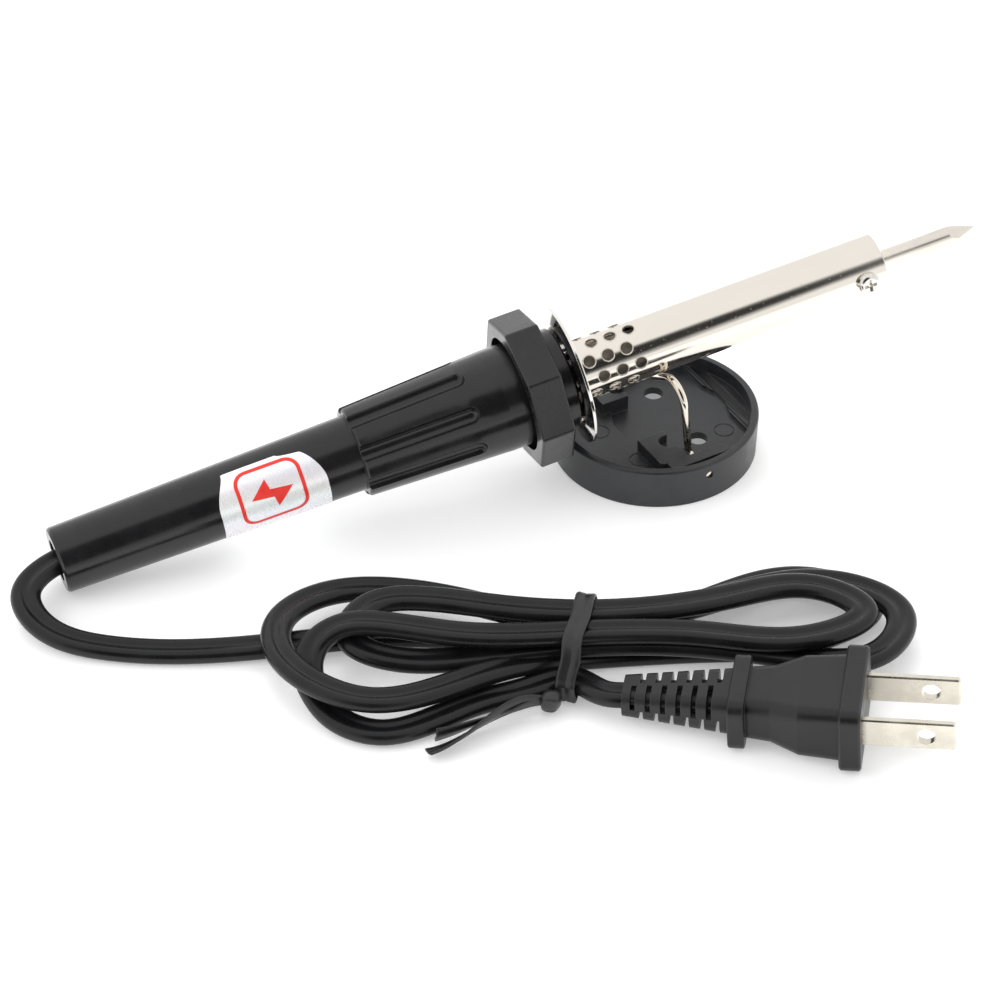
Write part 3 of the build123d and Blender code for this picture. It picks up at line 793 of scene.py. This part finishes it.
def tie_knot():
    """Lump of strap wrapped round itself, with slanting creases."""
    verts, faces = [], []
    rows, columns = 26, 36
    for i in range(rows + 1):
        v = math.pi * i / rows - math.pi / 2
        for k in range(columns):
            u = 2 * math.pi * k / columns
            crease = 1 + 0.05 * math.cos(3 * u + 2.5 * v) - 0.05 * math.exp(-((math.sin(v * 2 + 0.6)) ** 2) * 9)
            cv = math.copysign(abs(math.cos(v)) ** 0.55, math.cos(v))
            x = 2.0 * cv * math.copysign(abs(math.cos(u)) ** 0.7, math.cos(u)) * crease
            y = 2.1 * cv * math.copysign(abs(math.sin(u)) ** 0.7, math.sin(u)) * crease
            z = 2.25 * math.copysign(abs(math.sin(v)) ** 0.7, math.sin(v))
            y -= 0.25 * z
            verts.append(tie_to_row((-2.3 + x + 0.12 * z, -13.9 + y, 2.9 + z)))
    for i in range(rows):
        for k in range(columns):
            m = (k + 1) % columns
            faces.append((i * columns + k, i * columns + m, (i + 1) * columns + m, (i + 1) * columns + k))
    knot = mesh_object("tie_knot", verts, faces, "cord_bundle")
    paint(knot, tie_vinyl)


tie_band()
tie_knot()
ribbon(
    "tie_tail_short",
    [(-3.0, -14.1, 3.2), (-7.6, -17.0, 3.0), (-12.5, -20.8, 2.6), (-21.6, -27.5, 2.3)],
    (70, 35, 60, 80),
)
ribbon(
    "tie_tail_long",
    [(-3.2, -14.8, 3.4), (-8.6, -18.6, 4.3), (-15.0, -25.2, 2.7), (-22.2, -31.6, 1.4)],
    (95, 80, 50, 25),
)


# ------------------------------------------------------------------ small parts
def vent_rims():
    """Turned-in bright lips round the barrel's vent holes."""
    verts, faces = [], []
    around, section = 28, ((0.0, 0.02), (0.14, 0.055), (0.30, 0.02), (0.16, -0.06))
    for row in range(10):
        for number in range(3):
            back = (77.0, 79.0)[row % 2] + 4.05 * number
            angle = 14.0 + 36.0 * row
            base = len(verts)
            for i in range(around):
                a = 2 * math.pi * i / around
                for grow, lift in section:
                    reach = 1.14 + grow
                    turn = math.degrees(math.asin(reach * math.sin(a) / 6.22))
                    verts.append(on_iron(back + reach * math.cos(a), angle + turn, 6.22 + lift))
            count = len(section)
            for i in range(around):
                j = (i + 1) % around
                for k in range(count):
                    m = (k + 1) % count
                    faces.append(
                        (base + i * count + k, base + i * count + m, base + j * count + m, base + j * count + k)
                    )
    rims = mesh_object("vent_rims", verts, faces, "iron")
    paint(rims, barrel_plate)


vent_rims()

LABEL_LIFT = 0.155


def label_radius(back):
    """Outer radius of the label at a distance from the tip."""
    slope = (7.85 - 6.75) / (HANDLE_REAR - 137.3)
    return 7.85 - slope * (back - 137.3) + LABEL_LIFT


def label_patch(name, outline, thickness=0.03):
    """Thin inked shape lying on the label; outline is (along, round) in mm from the label's middle."""
    middle_back, middle_angle = 156.4, 26.0
    bm = bmesh.new()
    corners = [bm.verts.new((x, y, 0)) for x, y in outline]
    bm.faces.new(corners)
    bmesh.ops.triangulate(bm, faces=bm.faces)
    for _ in range(3):
        long_edges = [e for e in bm.edges if e.calc_length() > 0.5]
        if not long_edges:
            break
        bmesh.ops.subdivide_edges(bm, edges=long_edges, cuts=1)
        bmesh.ops.triangulate(bm, faces=bm.faces)
    flat = [tuple(v.co) for v in bm.verts]
    tris = [tuple(v.index for v in f.verts) for f in bm.faces]
    bm.verts.index_update()
    tris = [tuple(v.index for v in f.verts) for f in bm.faces]
    rim = [(e.verts[0].index, e.verts[1].index) for e in bm.edges if len(e.link_faces) == 1]
    bm.free()
    verts = []
    for lift in (0.0, thickness):
        for x, y, _ in flat:
            back = middle_back - x
            radius = label_radius(back) + lift
            verts.append(on_iron(back, middle_angle + math.degrees(y / label_radius(back)), radius))
    n = len(flat)
    faces = [tuple(reversed(t)) for t in tris] + [tuple(i + n for i in t) for t in tris]
    faces += [(a, b, b + n, a + n) for a, b in rim]
    patch = mesh_object(name, verts, faces, "iron", smooth=False)
    paint(patch, label_ink)
    return patch


def rounded_outline(half_x, half_y, corner, steps=8):
    points = []
    for cx, cy, start in ((1, 1, 0), (-1, 1, 90), (-1, -1, 180), (1, -1, 270)):
        for i in range(steps + 1):
            a = math.radians(start + 90 * i / steps)
            points.append(
                (cx * (half_x - corner) + corner * math.cos(a), cy * (half_y - corner) + corner * math.sin(a))
            )
    return points


def label_mark():
    """Generic printed mark: a rounded frame with a lightning bolt in it."""
    outer = rounded_outline(6.9, 6.1, 3.0)
    inner = rounded_outline(6.15, 5.35, 2.25)
    n = len(outer)
    for index in range(4):
        first = index * n // 4
        span = [(first + k) % n for k in range(n // 4 + 1)]
        strip = [outer[k] for k in span] + [inner[k] for k in reversed(span)]
        label_patch(f"label_frame_{index + 1}", strip)
    bolt = [(-4.4, -0.3), (-0.7, 3.1), (-0.2, 0.85), (4.4, 0.3), (0.7, -3.1), (0.2, -0.85)]
    label_patch("label_bolt", bolt)


label_mark()


# ------------------------------------------------------------------ stage, light and camera
def floor():
    size = 4.0
    verts = [(-size, -size, -0.0002), (size, -size, -0.0002), (size, size, -0.0002), (-size, size, -0.0002)]
    obj = mesh_object("floor", verts, [(0, 1, 2, 3)])
    mat, tree, shader = new_material("floor_white")
    coord = tree.nodes.new("ShaderNodeTexCoord")
    tone = noise(tree, coord.outputs["Object"], 30.0, 2.0, 0.5)
    tree.links.new(mix(tree, tone, (0.78, 0.78, 0.78), (0.80, 0.80, 0.80)), shader.inputs["Base Color"])
    shader.inputs["Roughness"].default_value = 0.65
    shader.inputs["Specular IOR Level"].default_value = 0.1
    shader.inputs["Emission Color"].default_value = (1.0, 1.0, 1.0, 1.0)
    shader.inputs["Emission Strength"].default_value = 0.30
    paint(obj, mat)


def area(name, place, target, size, power, colour=(1, 1, 1), size_y=None):
    data = bpy.data.lights.new(name, "AREA")
    data.energy = power
    data.color = colour
    data.size = size
    if size_y:
        data.shape = "RECTANGLE"
        data.size_y = size_y
    obj = bpy.data.objects.new(name, data)
    bpy.context.scene.collection.objects.link(obj)
    obj.location = place
    aim = Vector(target) - Vector(place)
    obj.rotation_mode = "QUATERNION"
    obj.rotation_quaternion = aim.to_track_quat("-Z", "Y")
    obj.visible_glossy = False
    return obj


CAM_AZIMUTH = math.radians(-30.0)
CAM_ELEVATION = math.radians(39.0)
CAM_TARGET = Vector((-0.0369, -0.0003, 0.0))
CAM_DISTANCE = 0.850
CAM_LENS = 150.84


def camera():
    data = bpy.data.cameras.new("camera")
    data.lens = CAM_LENS
    data.sensor_width = 36.0
    data.clip_start, data.clip_end = 0.01, 20.0
    obj = bpy.data.objects.new("camera", data)
    bpy.context.scene.collection.objects.link(obj)
    back = Vector(
        (
            math.sin(CAM_AZIMUTH) * math.cos(CAM_ELEVATION),
            -math.cos(CAM_AZIMUTH) * math.cos(CAM_ELEVATION),
            math.sin(CAM_ELEVATION),
        )
    )
    obj.location = CAM_TARGET + back * CAM_DISTANCE
    obj.rotation_mode = "QUATERNION"
    obj.rotation_quaternion = (-back).to_track_quat("-Z", "Y")
    bpy.context.scene.camera = obj


DARK_AZIMUTH = math.radians(-30.0)
DARK_ELEVATION = math.radians(33.0)


def world():
    """White room for the camera and for soft light; mirrors also see the dark place the camera stands in."""
    made = bpy.data.worlds.new("studio")
    bpy.context.scene.world = made
    made.use_nodes = True
    tree = made.node_tree
    tree.nodes.clear()
    out = tree.nodes.new("ShaderNodeOutputWorld")
    coord = tree.nodes.new("ShaderNodeTexCoord")
    dot = tree.nodes.new("ShaderNodeVectorMath")
    dot.operation = "DOT_PRODUCT"
    tree.links.new(coord.outputs["Generated"], dot.inputs[0])
    dot.inputs[1].default_value = (
        math.sin(DARK_AZIMUTH) * math.cos(DARK_ELEVATION),
        -math.cos(DARK_AZIMUTH) * math.cos(DARK_ELEVATION),
        math.sin(DARK_ELEVATION),
    )
    mirrored = ramp(tree, dot.outputs["Value"], 0.82, 0.885, 1.0, 0.02)
    path = tree.nodes.new("ShaderNodeLightPath")
    glossy = path.outputs["Is Glossy Ray"]
    level = calc(
        tree,
        "ADD",
        calc(tree, "MULTIPLY", glossy, mirrored),
        calc(tree, "MULTIPLY", calc(tree, "SUBTRACT", 1.0, glossy), 1.05),
    )
    shade = node(tree, "ShaderNodeBackground", Strength=level)
    shade.inputs["Color"].default_value = (1.0, 1.0, 1.0, 1.0)
    tree.links.new(shade.outputs[0], out.inputs[0])


floor()
camera()
world()
area("softbox_back", (0.25, 0.75, 0.75), (-0.03, -0.03, 0.0), 0.9, 6.0, size_y=0.6)
area("softbox_left", (-0.85, 0.15, 0.55), (-0.05, -0.03, 0.0), 0.6, 3.0)
scene = bpy.context.scene
scene.view_settings.view_transform = "Standard"
scene.view_settings.look = "None"
